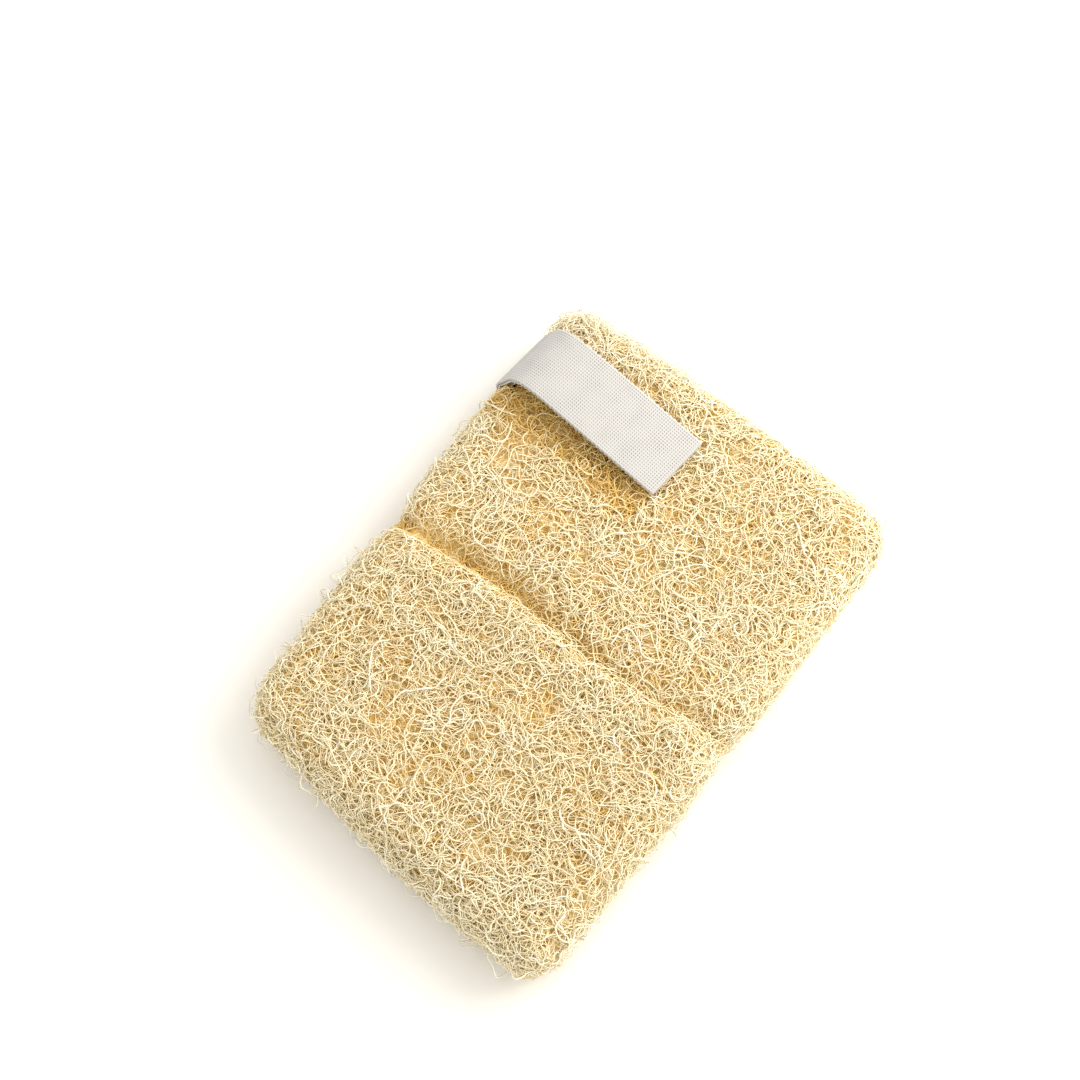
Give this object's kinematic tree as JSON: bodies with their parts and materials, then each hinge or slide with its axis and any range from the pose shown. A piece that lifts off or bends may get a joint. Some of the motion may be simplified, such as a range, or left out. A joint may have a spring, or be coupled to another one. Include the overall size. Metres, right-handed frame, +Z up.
{
  "type": "loofah sponge",
  "caption": "Flat rectangular natural loofah pad of matted plant fibre, creased across its middle, with a folded cotton tape loop near a corner for hanging it up.",
  "frame": {"origin": "middle of the footprint, on the surface that the pad lies on", "axes": "+X along the pad to the end with the loop, +Y to the long side that the loop is sewn to, +Z up from the surface"},
  "size_m": [0.1922, 0.1356, 0.0325],
  "materials": {
    "loofah_fibre": "dry matt plant fibre",
    "cotton_tape": "undyed plain weave, matt",
    "sewing_thread": "matt cotton thread"
  },
  "bodies": {
    "root": {"loofah_pad": "loofah_fibre", "hanging_loop": "cotton_tape", "loop_stitching": "sewing_thread"}
  },
  "joints": []
}
